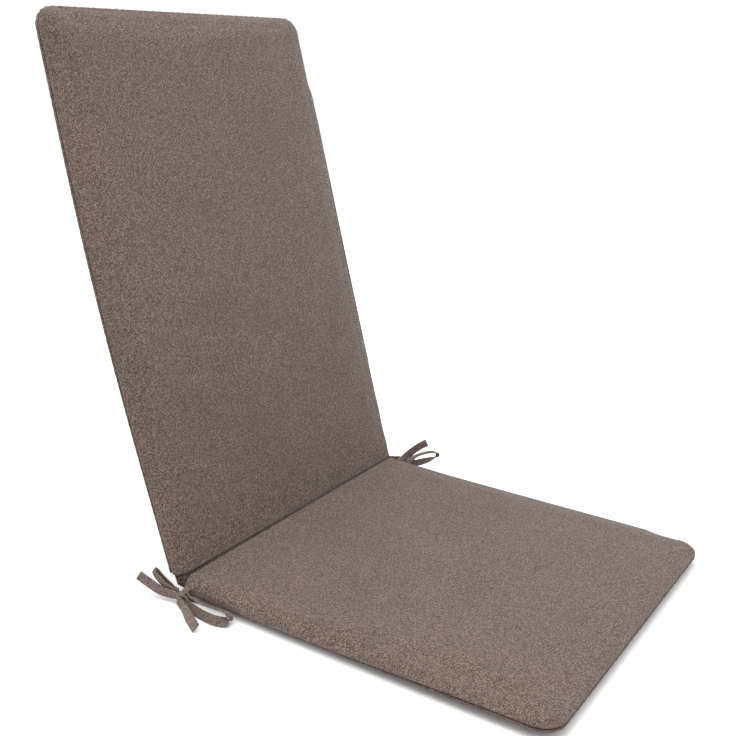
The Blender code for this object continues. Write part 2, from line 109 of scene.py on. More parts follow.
class Nodes:
    """Short ways to add and join nodes in one material."""

    def __init__(self, name):
        self.material = bpy.data.materials.new(name)
        self.material.use_nodes = True
        self.tree = self.material.node_tree
        self.shader = self.tree.nodes["Principled BSDF"]

    def add(self, kind, **settings):
        node = self.tree.nodes.new("ShaderNode" + kind)
        for key, value in settings.items():
            setattr(node, key, value)
        return node

    def put(self, socket, value):
        if isinstance(value, bpy.types.NodeSocket):
            self.tree.links.new(value, socket)
        else:
            socket.default_value = value

    def math(self, operation, a, b=0.0, c=0.0):
        node = self.add("Math", operation=operation)
        for socket, value in zip(node.inputs, (a, b, c)):
            self.put(socket, value)
        return node.outputs[0]

    def attribute(self, name):
        return self.add("Attribute", attribute_name=name).outputs["Vector"]

    def split(self, vector):
        node = self.add("SeparateXYZ")
        self.put(node.inputs[0], vector)
        return node.outputs

    def join(self, x, y, z=0.0):
        node = self.add("CombineXYZ")
        for socket, value in zip(node.inputs, (x, y, z)):
            self.put(socket, value)
        return node.outputs[0]

    def noise(self, vector, scale, detail=2.0, roughness=0.5):
        node = self.add("TexNoise")
        self.put(node.inputs["Vector"], vector)
        node.inputs["Scale"].default_value = scale
        node.inputs["Detail"].default_value = detail
        node.inputs["Roughness"].default_value = roughness
        return node.outputs["Fac"]

    def white(self, vector):
        node = self.add("TexWhiteNoise", noise_dimensions="3D")
        self.put(node.inputs["Vector"], vector)
        return node.outputs["Value"]

    def ramp(self, value, stops):
        node = self.add("ValToRGB")
        self.put(node.inputs[0], value)
        elements = node.color_ramp.elements
        while len(elements) < len(stops):
            elements.new(0.5)
        for element, (place, colour) in zip(elements, stops):
            element.position = place
            element.color = (*colour, 1.0)
        return node.outputs[0]

    def mix(self, factor, a, b, blend="MIX"):
        node = self.add("Mix", data_type="RGBA", blend_type=blend)
        self.put(node.inputs["Factor"], factor)
        for socket, value in ((node.inputs[6], a), (node.inputs[7], b)):
            self.put(socket, (*value, 1.0) if isinstance(value, tuple) else value)
        return node.outputs[2]

    def range(self, value, low, high, to_low, to_high):
        node = self.add("MapRange")
        for socket, given in zip(node.inputs, (value, low, high, to_low, to_high)):
            self.put(socket, given)
        return node.outputs[0]

    def bump(self, height, strength, distance, normal=None):
        node = self.add("Bump")
        node.inputs["Strength"].default_value = strength
        node.inputs["Distance"].default_value = distance
        self.put(node.inputs["Height"], height)
        if normal is not None:
            self.put(node.inputs["Normal"], normal)
        return node.outputs["Normal"]


# --- Materials -----------------------------------------------------------------------------------

THREAD = 0.00105
CLOTH_DARK = (0.046, 0.0305, 0.0235)
CLOTH_MID = (0.106, 0.0755, 0.0625)
CLOTH_LIGHT = (0.234, 0.178, 0.156)


def weave_material(name, thread=THREAD, tone=1.0):
    """Plain-woven melange cloth: each thread has its own flecks, and the weave follows the sewn panels. It
    paints shade into the gaps between threads, along the seams and on the seat's underside.
    """
    n = Nodes(name)
    across, along, from_seam = n.split(n.attribute("cloth"))[:3]
    place = n.join(across, along)
    wander = n.noise(place, 35.0, 1.0)
    across = n.math("ADD", across, n.math("MULTIPLY", n.math("SUBTRACT", wander, 0.5), 0.0016))
    u = n.math("DIVIDE", across, thread)
    v = n.math("DIVIDE", along, thread)
    column, row = n.math("FLOOR", u), n.math("FLOOR", v)
    warp_up = n.math("MODULO", n.math("ABSOLUTE", n.math("ADD", column, row)), 2.0)
    warp_up = n.math("GREATER_THAN", warp_up, 0.5)

    def flecks(fixed, running, seed):
        """Slubs and dyed fibres that run along one thread for several crossings."""
        thread_place = n.join(n.math("MULTIPLY", running, 0.55), n.math("MULTIPLY", fixed, 7.31), seed)
        long = n.range(n.noise(thread_place, 1.0, 2.0, 0.6), 0.34, 0.66, 0.0, 1.0)
        short = n.white(n.join(fixed, n.math("FLOOR", running), seed + 5.0))
        return n.math("ADD", n.math("MULTIPLY", long, 0.55), n.math("MULTIPLY", short, 0.45))

    warp, weft = flecks(column, v, 1.0), flecks(row, u, 2.0)
    weft_up = n.math("SUBTRACT", 1.0, warp_up)
    fleck = n.math("ADD", n.math("MULTIPLY", warp, warp_up), n.math("MULTIPLY", weft, weft_up))
    soft = n.noise(place, 650.0, 2.0, 0.6)
    fleck = n.math("ADD", n.math("MULTIPLY", fleck, 0.72), n.math("MULTIPLY", soft, 0.28))
    dark, mid, light = (tuple(c * tone for c in colour) for colour in (CLOTH_DARK, CLOTH_MID, CLOTH_LIGHT))
    colour = n.ramp(fleck, ((0.29, dark), (0.50, mid), (0.71, light)))
    # Broad blotches of warmer and cooler yarn.
    blotch = n.noise(place, 14.0, 3.0, 0.55)
    colour = n.mix(n.range(blotch, 0.3, 0.7, 0.0, 0.32), colour, (1.05, 0.98, 0.93), "MULTIPLY")
    shade = n.range(n.noise(place, 7.0, 2.0), 0.3, 0.7, 0.94, 1.05)
    shade = n.mix(1.0, colour, n.join(shade, shade, shade), "MULTIPLY")
    # Thread relief: the one on top stands proud at its middle, and painted shade darkens the gaps between
    # them.
    fu, fv = n.math("FRACT", u), n.math("FRACT", v)
    round_u = n.math("SINE", n.math("MULTIPLY", fu, math.pi))
    round_v = n.math("SINE", n.math("MULTIPLY", fv, math.pi))
    half_u = n.math("ADD", n.math("MULTIPLY", round_u, 0.5), 0.5)
    half_v = n.math("ADD", n.math("MULTIPLY", round_v, 0.5), 0.5)
    warp_over = n.math("MULTIPLY", n.math("MULTIPLY", round_u, half_v), warp_up)
    weft_over = n.math("MULTIPLY", n.math("MULTIPLY", round_v, half_u), weft_up)
    over = n.math("ADD", warp_over, weft_over)
    gap = n.range(over, 0.0, 0.45, 0.62, 1.0)
    shade = n.mix(1.0, shade, n.join(gap, gap, gap), "MULTIPLY")
    # Painted shade in the seam's gap, deeper in some places than in others, with a faint painted highlight
    # just beyond it.
    depth = n.math("ABSOLUTE", from_seam)
    seam = n.ramp(n.math("DIVIDE", depth, 0.010),
                  ((0.0, (0.20, 0.18, 0.17)), (0.06, (0.42, 0.40, 0.39)), (0.13, (1.0, 1.0, 1.0)),
                   (0.40, (1.07, 1.06, 1.05)), (1.0, (1.0, 1.0, 1.0))))
    seam_shade_vary = n.range(n.noise(place, 11.0, 2.0), 0.36, 0.62, 0.65, 1.0)
    shade = n.mix(seam_shade_vary, shade, seam, "MULTIPLY")
    # Painted shade on the seat's underside, the cloth turned to the floor.
    under = n.math("LESS_THAN", from_seam, -0.0002)
    shade = n.mix(under, shade, (0.82, 0.74, 0.68), "MULTIPLY")
    n.put(n.shader.inputs["Base Color"], shade)
    n.put(n.shader.inputs["Roughness"], n.range(fleck, 0.2, 0.8, 0.92, 0.80))
    n.shader.inputs["Specular IOR Level"].default_value = 0.18
    n.shader.inputs["Sheen Weight"].default_value = 0.12
    n.shader.inputs["Sheen Roughness"].default_value = 0.55
    height = n.math("ADD", over, n.math("MULTIPLY", n.noise(place, 1400.0, 2.0), 0.35))
    n.put(n.shader.inputs["Normal"], n.bump(height, 0.55, thread * 0.35))
    return n.material


def metal_material(name):
    """Satin grey die-cast metal with a cloudy tone and fine scratches."""
    n = Nodes(name)
    place = n.add("TexCoord").outputs["Object"]
    cloud = n.noise(place, 420.0, 4.0, 0.6)
    stretched = [n.math("MULTIPLY", part, k) for part, k in zip(n.split(place), (60.0, 900.0, 900.0))]
    scratch = n.noise(n.join(*stretched), 1.0, 3.0)
    colour = n.ramp(cloud, ((0.3, (0.20, 0.19, 0.175)), (0.7, (0.37, 0.35, 0.33))))
    n.put(n.shader.inputs["Base Color"], colour)
    n.shader.inputs["Metallic"].default_value = 1.0
    n.put(n.shader.inputs["Roughness"], n.range(scratch, 0.3, 0.7, 0.30, 0.48))
    n.put(n.shader.inputs["Normal"], n.bump(scratch, 0.25, 0.00005))
    return n.material


def nylon_material(name):
    """Dark dyed nylon filament with a soft shine."""
    n = Nodes(name)
    place = n.add("TexCoord").outputs["Object"]
    cloud = n.noise(place, 900.0, 3.0, 0.6)
    browns = ((0.3, (0.030, 0.023, 0.019)), (0.7, (0.058, 0.046, 0.039)))
    n.put(n.shader.inputs["Base Color"], n.ramp(cloud, browns))
    n.put(n.shader.inputs["Roughness"], n.range(cloud, 0.3, 0.7, 0.34, 0.52))
    n.put(n.shader.inputs["Normal"], n.bump(cloud, 0.2, 0.00005))
    return n.material


# --- Mesh helpers --------------------------------------------------------------------------------


def object_from(name, points, faces, material, cloth=None, smooth=True):
    """A mesh object from arrays of points and faces, with its place on the flat cloth as an attribute."""
    data = bpy.data.meshes.new(name)
    data.from_pydata([tuple(p) for p in points], [], [tuple(f) for f in faces])
    if cloth is not None:
        data.attributes.new("cloth", "FLOAT_VECTOR", "POINT").data.foreach_set(
            "vector", np.asarray(cloth, np.float32).ravel())
    if smooth:
        data.shade_smooth()
    data.materials.append(material)
    made = bpy.data.objects.new(name, data)
    bpy.context.scene.collection.objects.link(made)
    return made


def vertex_array(data, what="co"):
    found = np.empty(len(data.vertices) * 3, np.float32)
    data.vertices.foreach_get(what, found)
    return found.reshape(-1, 3).astype(float)


def smoothstep(value, low, high):
    t = np.clip((value - low) / (high - low), 0.0, 1.0)
    return t * t * (3 - 2 * t)


# --- Pads ----------------------------------------------------------------------------------------

ARC = math.pi * R / 2
FREE_CORNER = 0.028 - R + ARC
FOLD_CORNER = 0.0095
START_R = R - 0.0036
SWELL_CAP = 0.0036
FOLD_END_DEPTH = 0.020
FOLD_FADE = 0.045
FOLD_EDGE = 0.0009
WEB_REACH = 0.0052
FOLD_DIP = 0.003
BACK_DIP = 0.0008
DRIFT_FADE = (0.030, 0.090)
EDGE_ROWS = (0.0, 0.0006, 0.0013, 0.0021, 0.0031, 0.0041, 0.0048, 0.0053, 0.0059, 0.0070, 0.0084,
             0.0102, 0.0124, 0.0150, 0.0180, 0.0212)
SIM_EDGE_ROWS = (0.0, 0.0045, 0.0100, 0.0165)
CELL = 0.0034
SIM_CELL = 0.0095
LIP_DEPTH = 0.0024
LIP_REACH = 0.035
COIL_PITCH = 0.0015
COIL_WIDTH = 0.00105
COIL_DEPTH = 0.0012
COIL_REACH = 0.00125
COIL_OFFSET = 0.0003


def rows(total, edge, cell):
    """Places along a side of the flat pattern: closer together near both edges."""
    inner = np.linspace(edge[-1], total - edge[-1], max(2, round((total - 2 * edge[-1]) / cell) + 1))
    edge = np.array(edge[:-1])
    return np.concatenate([edge, inner, (total - edge)[::-1]])


class Pad:
    """One panel's skin. Its flat pattern is a rectangle with round corners.

    px runs across the panel and py away from the fold.
    """

    def __init__(self, name, length, side, place, seam_angle, shape):
        self.name = name
        self.length = length
        self.side = side
        self.place = place
        self.seam_angle = seam_angle
        self.shape = shape
        self.half = HALF_WIDTH - R + ARC
        self.long = length - 2 * R + 2 * ARC

    def pattern(self, px, py):
        """Rounds the corners of the square grid, then gives each point's distance in from the outline, its
        outward direction and its place along the outline."""
        px, py = px.copy(), py.copy()
        out = np.zeros((*px.shape, 2))
        s = np.minimum(np.minimum(self.half - np.abs(px), py), self.long - py)
        along = np.zeros_like(px)
        left_right = self.half - np.abs(px)
        near_side = left_right <= s + 1e-9
        near_fold = (py <= s + 1e-9) & ~near_side
        near_free = ~near_side & ~near_fold
        sign = np.sign(px) + (px == 0)
        out[..., 0] = np.where(near_side, sign, 0.0)
        out[..., 1] = np.where(near_fold, -1.0, np.where(near_free, 1.0, 0.0))
        along = np.where(near_side, py * sign + 3.0 * sign, np.where(near_fold, px + 9.0, px + 15.0))
        for fold_end, radius in ((True, FOLD_CORNER), (False, FREE_CORNER)):
            centre_x = self.half - radius
            centre_y = radius if fold_end else self.long - radius
            a = (np.abs(px) - centre_x) / radius
            b = (centre_y - py if fold_end else py - centre_y) / radius
            inside = (a > 0) & (b > 0)
            ra = a * np.sqrt(np.clip(1 - b * b / 2, 0, 1))
            rb = b * np.sqrt(np.clip(1 - a * a / 2, 0, 1))
            rho = np.maximum(np.hypot(ra, rb), 1e-9)
            px = np.where(inside, sign * (centre_x + radius * ra), px)
            py = np.where(inside, centre_y + (-1 if fold_end else 1) * radius * rb, py)
            s = np.where(inside, radius * (1 - rho), s)
            out[..., 0] = np.where(inside, sign * ra / rho, out[..., 0])
            out[..., 1] = np.where(inside, (-1 if fold_end else 1) * rb / rho, out[..., 1])
            turn = np.arctan2(rb, ra) * radius
            along = np.where(inside, 20.0 + 2.0 * sign + (5.0 if fold_end else 0.0) + turn, along)
        return px, py, np.clip(s, 0.0, None), out, along

    def surface(self, px, py, sheet, radius):
        """Points of one sheet of the skin, sheet +1 for the face that is sat on, in the panel's own frame."""
        px, py, s, out, along = self.pattern(px, py)
        t = np.clip(s / ARC, 0.0, 1.0)
        start = self.seam_angle(px, py, self)
        turn = start + (sheet * math.pi / 2 - start) * t
        z = radius * np.sin(turn)
        fall_in = np.where(s < ARC, R * np.cos(turn) - (ARC - s), 0.0)
        x = px + out[..., 0] * fall_in
        y = py + out[..., 1] * fall_in - (ARC - R)
        return np.stack([x, y, z], -1), s, along, turn

    def at_fold(self, points, turn):
        """Brings the upper face up to the fold and curves the lower one away from it."""
        y = points[:, 1]
        fall = (1 - np.sin(turn)) / 2
        wanted = FOLD_EDGE + FOLD_END_DEPTH * (1 - np.sqrt(np.clip(1 - fall * fall, 0, 1)))
        round_side = R * (1 - np.cos(turn))
        weight = 1 - smoothstep(y, R, FOLD_FADE)
        full = (1 - smoothstep(y, 0.020, 0.110)) * (turn > 0)
        points = points.copy()
        points[:, 2] += full * (R * np.sin(turn) - points[:, 2])
        points[:, 1] = y + weight * (wanted - round_side)
        return points

    def grid(self, edge, cell):
        px = rows(2 * self.half, edge, cell) - self.half
        py = rows(self.long, edge, cell)
        return px, py

    def build(self, edge, cell, radius):
        """A closed mesh of both sheets with a shared outline, and the arrays that describe it."""
        px, py = self.grid(edge, cell)
        gx, gy = np.meshgrid(px, py, indexing="ij")
        count = gx.size
        upper, s, along, turn = self.surface(gx, gy, 1, radius)
        lower, _, _, lower_turn = self.surface(gx, gy, -1, radius)
        index = np.arange(count).reshape(gx.shape)
        border = np.zeros(gx.shape, bool)
        border[[0, -1], :] = True
        border[:, [0, -1]] = True
        lower_index = np.full(gx.shape, -1)
        lower_index[border] = index[border]
        lower_index[~border] = count + np.arange((~border).sum())
        points = np.concatenate([upper.reshape(-1, 3), lower[~border]])
        grid_u = np.concatenate([gx.ravel(), gx[~border]])
        grid_v = np.concatenate([gy.ravel(), gy[~border]])
        sheet = np.concatenate([np.ones(count), -np.ones((~border).sum())])
        sheet[index[border]] = 0
        s = np.concatenate([s.ravel(), s[~border]])
        along = np.concatenate([along.ravel(), along[~border]])
        turn = np.concatenate([turn.ravel(), lower_turn[~border]])

        def quads(table, flip):
            a, b, c, d = table[:-1, :-1], table[1:, :-1], table[1:, 1:], table[:-1, 1:]
            order = (a, b, c, d) if not flip else (a, d, c, b)
            return np.stack([q.ravel() for q in order], -1)

        faces = np.concatenate([quads(index, False), quads(lower_index, True)])
        return points, faces, s, along, turn, sheet, grid_u, grid_v, (px, py, index, lower_index)


def simulate(pad):
    """Blows the pad's skin up a little with Cloth, and returns how far each point of a coarse grid moves."""
    points, faces, _, _, _, sheet, _, _, grid = pad.build(SIM_EDGE_ROWS, SIM_CELL, START_R)
    px, py, upper, lower = grid
    skin = object_from(pad.name + "_sim", points, faces, bpy.data.materials["cover_cloth"])
    before = vertex_array(skin.data)
    seam = skin.vertex_groups.new(name="seam")
    seam.add([int(i) for i in np.flatnonzero(sheet == 0)], 1.0, "REPLACE")
    cloth = skin.modifiers.new("cloth", "CLOTH")
    settings = cloth.settings
    settings.vertex_group_mass = "seam"
    settings.quality = 6
    settings.mass = 0.25
    settings.tension_stiffness = 18.0
    settings.compression_stiffness = 12.0
    settings.shear_stiffness = 8.0
    settings.bending_stiffness = 0.6
    settings.use_pressure = True
    settings.uniform_pressure_force = 4.0
    settings.effector_weights.gravity = 0.0
    cloth.point_cache.frame_start = 1
    cloth.point_cache.frame_end = 20
    scene = bpy.context.scene
    for number in range(1, 21):
        scene.frame_set(number)
    now = bpy.context.evaluated_depsgraph_get()
    after = vertex_array(skin.evaluated_get(now).data)
    scene.frame_set(1)
    bpy.data.objects.remove(skin)
    moved = after - before
    far = np.linalg.norm(moved, axis=1, keepdims=True)
    moved *= np.minimum(1.0, SWELL_CAP * np.tanh(far / SWELL_CAP) / np.maximum(far, 1e-9))
    mean, most = (round(float(value) * 1000, 2) for value in (far.mean(), far.max()))
    print(pad.name, "simulated: moved", mean, most, "mm", flush=True)
    return px, py, moved[upper], moved[lower]


def sample(px, py, field, u, v):
    """Bilinear reading of a field on the coarse grid at (u, v)."""
    i = np.clip(np.searchsorted(px, u) - 1, 0, len(px) - 2)
    j = np.clip(np.searchsorted(py, v) - 1, 0, len(py) - 2)
    a = np.clip((u - px[i]) / (px[i + 1] - px[i]), 0, 1)[:, None]
    b = np.clip((v - py[j]) / (py[j + 1] - py[j]), 0, 1)[:, None]
    low = field[i, j] * (1 - a) + field[i + 1, j] * a
    high = field[i, j + 1] * (1 - a) + field[i + 1, j + 1] * a
    return low * (1 - b) + high * b


def waves(place, seed, lengths, count=5):
    """A smooth, repeatable ripple along a line: a sum of sines of unlike lengths, from -1 to 1 or so."""
    rng = np.random.default_rng(seed)
    total = np.zeros_like(place)
    for _ in range(count):
        length = rng.uniform(*lengths)
        total += np.sin(place * math.tau / length + rng.uniform(0, math.tau)) * rng.uniform(0.6, 1.0)
    return total / math.sqrt(count)


def lumps(x, y, seed, lengths, count=9):
    """A smooth, repeatable unevenness over a plane."""
    rng = np.random.default_rng(seed)
    total = np.zeros_like(x)
    for _ in range(count):
        length, way = rng.uniform(*lengths), rng.uniform(0, math.tau)
        phase = rng.uniform(0, math.tau)
        total += np.sin((x * math.cos(way) + y * math.sin(way)) * math.tau / length + phase)
    return total / math.sqrt(count)


def make_pad(pad, seed, zip_span, material):
    """The finished skin: swollen, shaped, with its seam, puckers, unevenness and the recess for the zip."""
    points, faces, s, along, turn, sheet, u, v, _ = pad.build(EDGE_ROWS, CELL, START_R)
    px, py, upper, lower = simulate(pad)
    swell = np.where(sheet[:, None] >= 0, sample(px, py, upper, u, v), sample(px, py, lower, u, v))
    swell[:, :2] *= smoothstep(s, *DRIFT_FADE)[:, None]
    swell[:, 2] *= smoothstep(s, 0.0, 0.010)
    points += swell
    low_face = sheet < 0
    points[:, 2] = np.clip(points[:, 2], -R, R)
    # Broad unevenness of the filling, kept under the CAD's own faces.
    inside = smoothstep(s, 0.01, 0.06)
    uneven = lumps(points[:, 0], points[:, 1], seed, (0.07, 0.19))
    points[:, 2] -= sheet * inside * 0.0005 * (uneven + 1.2) * np.where(low_face, 0.3, 1.0)
    points = pad.at_fold(points, turn)
    points = pad.shape(points, pad)
    local = points + np.array([0.0, 0.0, MIDDLE_Z])
    local[:, 1] *= pad.side
    if pad.side < 0:
        faces = faces[:, ::-1]
    # Negative distances mark the seat's underside, which the weave darkens with painted shade.
    from_seam = np.where(low_face & (pad.side < 0), -s, s)
    skin = object_from(pad.name, local, faces, material, np.stack([u, v, from_seam], -1))
    normal = vertex_array(skin.data, "normal")
    # The seam's groove, with the cloth gathered into it in short puckers.
    groove = -0.0017 * np.exp(-((s / 0.0011) ** 2))
    gathers = 0.6 + 0.8 * smoothstep(np.abs(waves(along, seed + 1, (0.05, 0.16))), 0.1, 1.4)
    near = np.exp(-s / 0.0085) * (1 - np.exp(-s / 0.0012))
    puckers = 0.00052 * gathers * near * waves(along + 0.002 * sheet, seed + 2, (0.008, 0.017), 6)
    rolled = 0.0006 * np.exp(-(((s - 0.0042) / 0.0028) ** 2))
    corner = smoothstep(np.abs(points[:, 0]), HALF_WIDTH - 0.05, HALF_WIDTH - 0.015)
    corner *= smoothstep(points[:, 1], pad.length - 0.05, pad.length - 0.015)
    lift = groove + puckers * (1 + 0.3 * corner) + rolled
    if zip_span is not None:
        low, high = zip_span
        place = points[:, 1]
        by_side = (points[:, 0] > HALF_WIDTH - 0.012) & (np.abs(points[:, 2]) < 0.012)
        in_span = smoothstep(place, low - 0.004, low) * (1 - smoothstep(place, high, high + 0.004))
        calm = np.where(by_side, 1 - in_span, 1.0)
        lift *= calm
    moved = vertex_array(skin.data) + normal * lift[:, None]
    if zip_span is not None:
        open_share = in_span * (1 - smoothstep(np.abs(points[:, 2]), 0.0047, 0.0056)) * by_side
        floor = HALF_WIDTH - 0.0072
        moved[:, 0] = np.where(open_share > 0, moved[:, 0] + open_share * (floor - moved[:, 0]), moved[:, 0])
        # The lips on either side of the opening stay in front of the zip's tapes.
        lip = HALF_WIDTH - LIP_DEPTH - 0.0035 * smoothstep(np.abs(points[:, 2]), 0.0080, 0.0115)
        share = smoothstep(place, low - LIP_REACH, low) * (1 - smoothstep(place, high, high + LIP_REACH))
        covers = (points[:, 0] > HALF_WIDTH - 0.012) & (open_share <= 0)
        moved[:, 0] += np.where(covers, share * np.maximum(lip - moved[:, 0], 0.0), 0.0)
    skin.data.vertices.foreach_set("co", moved.astype(np.float32).ravel())
    skin.data.transform(pad.place)
    skin.data.update()
    return skin


# --- Ties ----------------------------------------------------------------------------------------

TAPE_WIDTH = 0.0118
TAPE_THICKNESS = 0.0018
TAPE_REST = 0.0060
LEFT = -1
RIGHT = 1
# Each route runs from the knot, in millimetres out from the panel's side, back from the fold and up from it,
# with the direction across the tape at the same points.
ROUTES = {
    "left_front": (
        LEFT,
        [(10.0, -18.0, -7.0), (10.6, -25.0, -7.5), (12.0, -42.0, -8.0), (12.0, -66.0, -7.0),
         (11.8, -82.0, -5.5), (13.0, -88.0, -11.5), (18.0, -84.0, -18.5), (23.0, -70.0, -21.5),
         (21.0, -46.0, -20.0),
         (16.5, -27.0, -14.0), (13.3, -18.0, -11.5)],
        [(0.1, 0.0, 1.0), (0.4, -0.1, 0.8), (0.7, -0.2, 0.5), (0.7, -0.2, 0.5), (0.8, -0.2, 0.4),
         (1.0, 0.0, 0.0), (0.8, 0.2, -0.5), (0.5, 0.2, -0.8), (0.4, 0.1, -0.9),
         (0.3, 0.0, -0.9), (0.1, 0.0, -1.0)],
        [(19.4, -11.0, -10.0), (23.0, -24.0, -14.0), (36.0, -44.0, -19.0), (49.0, -66.0, -25.0)],
        [(0.0, -0.3, 0.95), (-0.25, -0.4, 0.85), (-0.5, -0.45, 0.65), (-0.56, -0.5, 0.6)],
    ),
    "left_rear": (
        LEFT,
        [(8.0, -2.1, -7.0), (8.0, 4.0, -6.9), (7.8, 14.0, -1.5), (7.6, 26.0, 4.5), (8.0, 34.0, 10.0),
         (10.0, 37.0, 12.0), (12.0, 33.0, 8.5), (12.2, 24.0, 2.0), (11.8, 13.0, -3.5),
         (11.2, 4.0, -6.4), (11.2, -2.1, -6.5)],
        [(0.1, 0.0, 1.0), (0.1, -0.2, 1.0), (0.2, -0.5, 0.8), (0.2, -0.5, 0.8), (0.2, -0.5, 0.8),
         (0.2, -0.6, 0.7), (0.2, -0.5, 0.8), (0.2, -0.5, 0.8), (0.2, -0.5, 0.8),
         (0.1, -0.2, 1.0), (0.1, 0.0, 1.0)],
        [(14.4, -2.1, -8.0), (14.8, 5.0, -8.8), (17.0, 18.0, -8.0), (19.0, 32.0, -3.5), (20.5, 43.0, 1.0),
         (22.0, 52.0, 5.0)],
        [(0.1, 0.0, 1.0), (0.0, -0.1, 1.0), (-0.2, -0.2, 0.9), (-0.4, -0.2, 0.85), (-0.42, -0.17, 0.84),
         (-0.42, -0.17, 0.84)],
    ),
    "right_front": (
        RIGHT,
        [(10.2, -18.0, -7.0), (11.2, -23.0, -5.0), (21.0, -32.0, 3.5), (32.0, -45.0, 9.0), (40.0, -55.0, 9.5),
         (42.5, -58.0, 5.0), (39.0, -53.0, -1.0), (30.0, -42.0, -6.0), (21.0, -31.0, -9.5),
         (14.4, -23.0, -11.0), (13.8, -18.0, -11.5)],
        [(0.1, 0.0, 1.0), (0.6, 0.4, 0.5), (0.85, 0.5, 0.0), (0.8, 0.55, -0.1), (0.65, 0.7, -0.2),
         (0.4, 0.8, -0.4), (0.3, 0.6, -0.7), (0.15, 0.2, -0.95), (0.05, 0.05, -1.0),
         (0.05, 0.0, -1.0), (0.1, 0.0, -1.0)],
        [(19.4, -9.0, -7.0), (24.0, -13.0, -1.5), (33.0, -25.0, 11.5), (45.0, -36.5, 20.0)],
        [(0.0, 0.7, 0.7), (-0.1, 0.6, 0.75), (-0.2, 0.5, 0.8), (-0.2, 0.5, 0.8)],
    ),
    "right_rear": (
        RIGHT,
        [(8.0, -2.1, -7.0), (8.0, 4.0, -8.0), (9.0, 14.0, -10.0), (10.0, 30.0, -9.0), (11.5, 45.0, -8.0),
         (14.5, 51.0, -10.0), (16.5, 45.0, -12.5), (15.5, 30.0, -14.5), (13.0, 14.0, -13.0),
         (11.2, 4.0, -9.5), (11.2, -2.1, -7.5)],
        [(0.1, 0.0, 1.0), (0.1, 0.0, 1.0), (0.2, -0.3, 0.9), (0.2, -0.2, 0.9), (0.2, -0.1, 1.0),
         (0.1, 0.0, 1.0), (0.2, 0.1, 1.0), (0.2, -0.2, 0.9), (0.2, -0.3, 0.9),
         (0.1, 0.0, 1.0), (0.1, 0.0, 1.0)],
        [(19.4, -7.0, -12.0), (22.6, -2.0, -15.0), (31.0, 12.0, -20.0), (37.0, 29.0, -21.0)],
        [(0.0, 0.5, 0.85), (0.3, 0.3, 0.85), (0.8, -0.3, 0.5), (0.9, -0.4, 0.1)],
    ),
}


def sag_on(side):
    """How far a bow hangs below where its tapes leave the fold."""
    return 0.010 if side == LEFT else 0.0035


def route_points(side, values):
    """Turns a route into places in the room. The tape rests on the floor where it would go below it."""
    found = []
    for out, back, up in values:
        z = max(FOLD.z + up / 1000 - sag_on(side), SEAT_LOW.z + TAPE_REST)
        found.append(Vector((side * (HALF_WIDTH + out / 1000), FOLD.y + back / 1000, z)))
    return found


def smooth_path(points, steps):
    """Points along a Catmull-Rom curve through the given ones."""
    padded = [points[0] * 2 - points[1], *points, points[-1] * 2 - points[-2]]
    path = []
    spans = len(points) - 1
    for number in range(steps + 1):
        place = number * spans / steps
        i = min(int(place), spans - 1)
        t = place - i
        a, b, c, d = padded[i:i + 4]
        square = 2 * a - 5 * b + 4 * c - d
        cube = 3 * b - a - 3 * c + d
        path.append(0.5 * (2 * b + (c - a) * t + square * t**2 + cube * t**3))
    return path


def ribbon_section():
    """Half-section of a folded tape, as (across, thick) shares: soft edges, each with a stitched dip."""
    edge = [(0.14, 0.50), (0.28, 0.44), (0.32, 0.36), (0.36, 0.44), (0.42, 0.52), (0.465, 0.47),
            (0.493, 0.30), (0.5, 0.0)]
    return [(-across, thick) for across, thick in reversed(edge)] + [(0.0, 0.51)] + edge


def ribbon(name, path, across, width, thickness, material):
    """A flat sewn tape along a path of points, with the direction across it at each."""
    half = ribbon_section()
    section = half + [(x, -y) for x, y in reversed(half[1:-1])]
    count = len(section)
    points, cloth = [], []
    gone = 0.0
    total = len(path)
    for number, (centre, wide) in enumerate(zip(path, across)):
        before, after = path[max(number - 1, 0)], path[min(number + 1, total - 1)]
        way = (after - before).normalized()
        wide = (wide - way * wide.dot(way)).normalized()
        thick = way.cross(wide).normalized()
        gone += (centre - path[number - 1]).length if number else 0.0
        for i, (x, y) in enumerate(section):
            points.append(centre + wide * (x * width) + thick * (y * thickness))
            cloth.append((x * width, gone, 1.0))
    faces = []
    for ring in range(total - 1):
        for i in range(count):
            j = (i + 1) % count
            a, b = ring * count, (ring + 1) * count
            faces.append((a + i, b + i, b + j, a + j))
    for ring in (0, total - 1):
        first = ring * count
        cap = [first + i for i in range(count)]
        faces.append(cap if ring == 0 else cap[::-1])
    made = object_from(name, points, faces, material, cloth)
    made.data.set_sharp_from_angle(angle=math.radians(60))
    return made


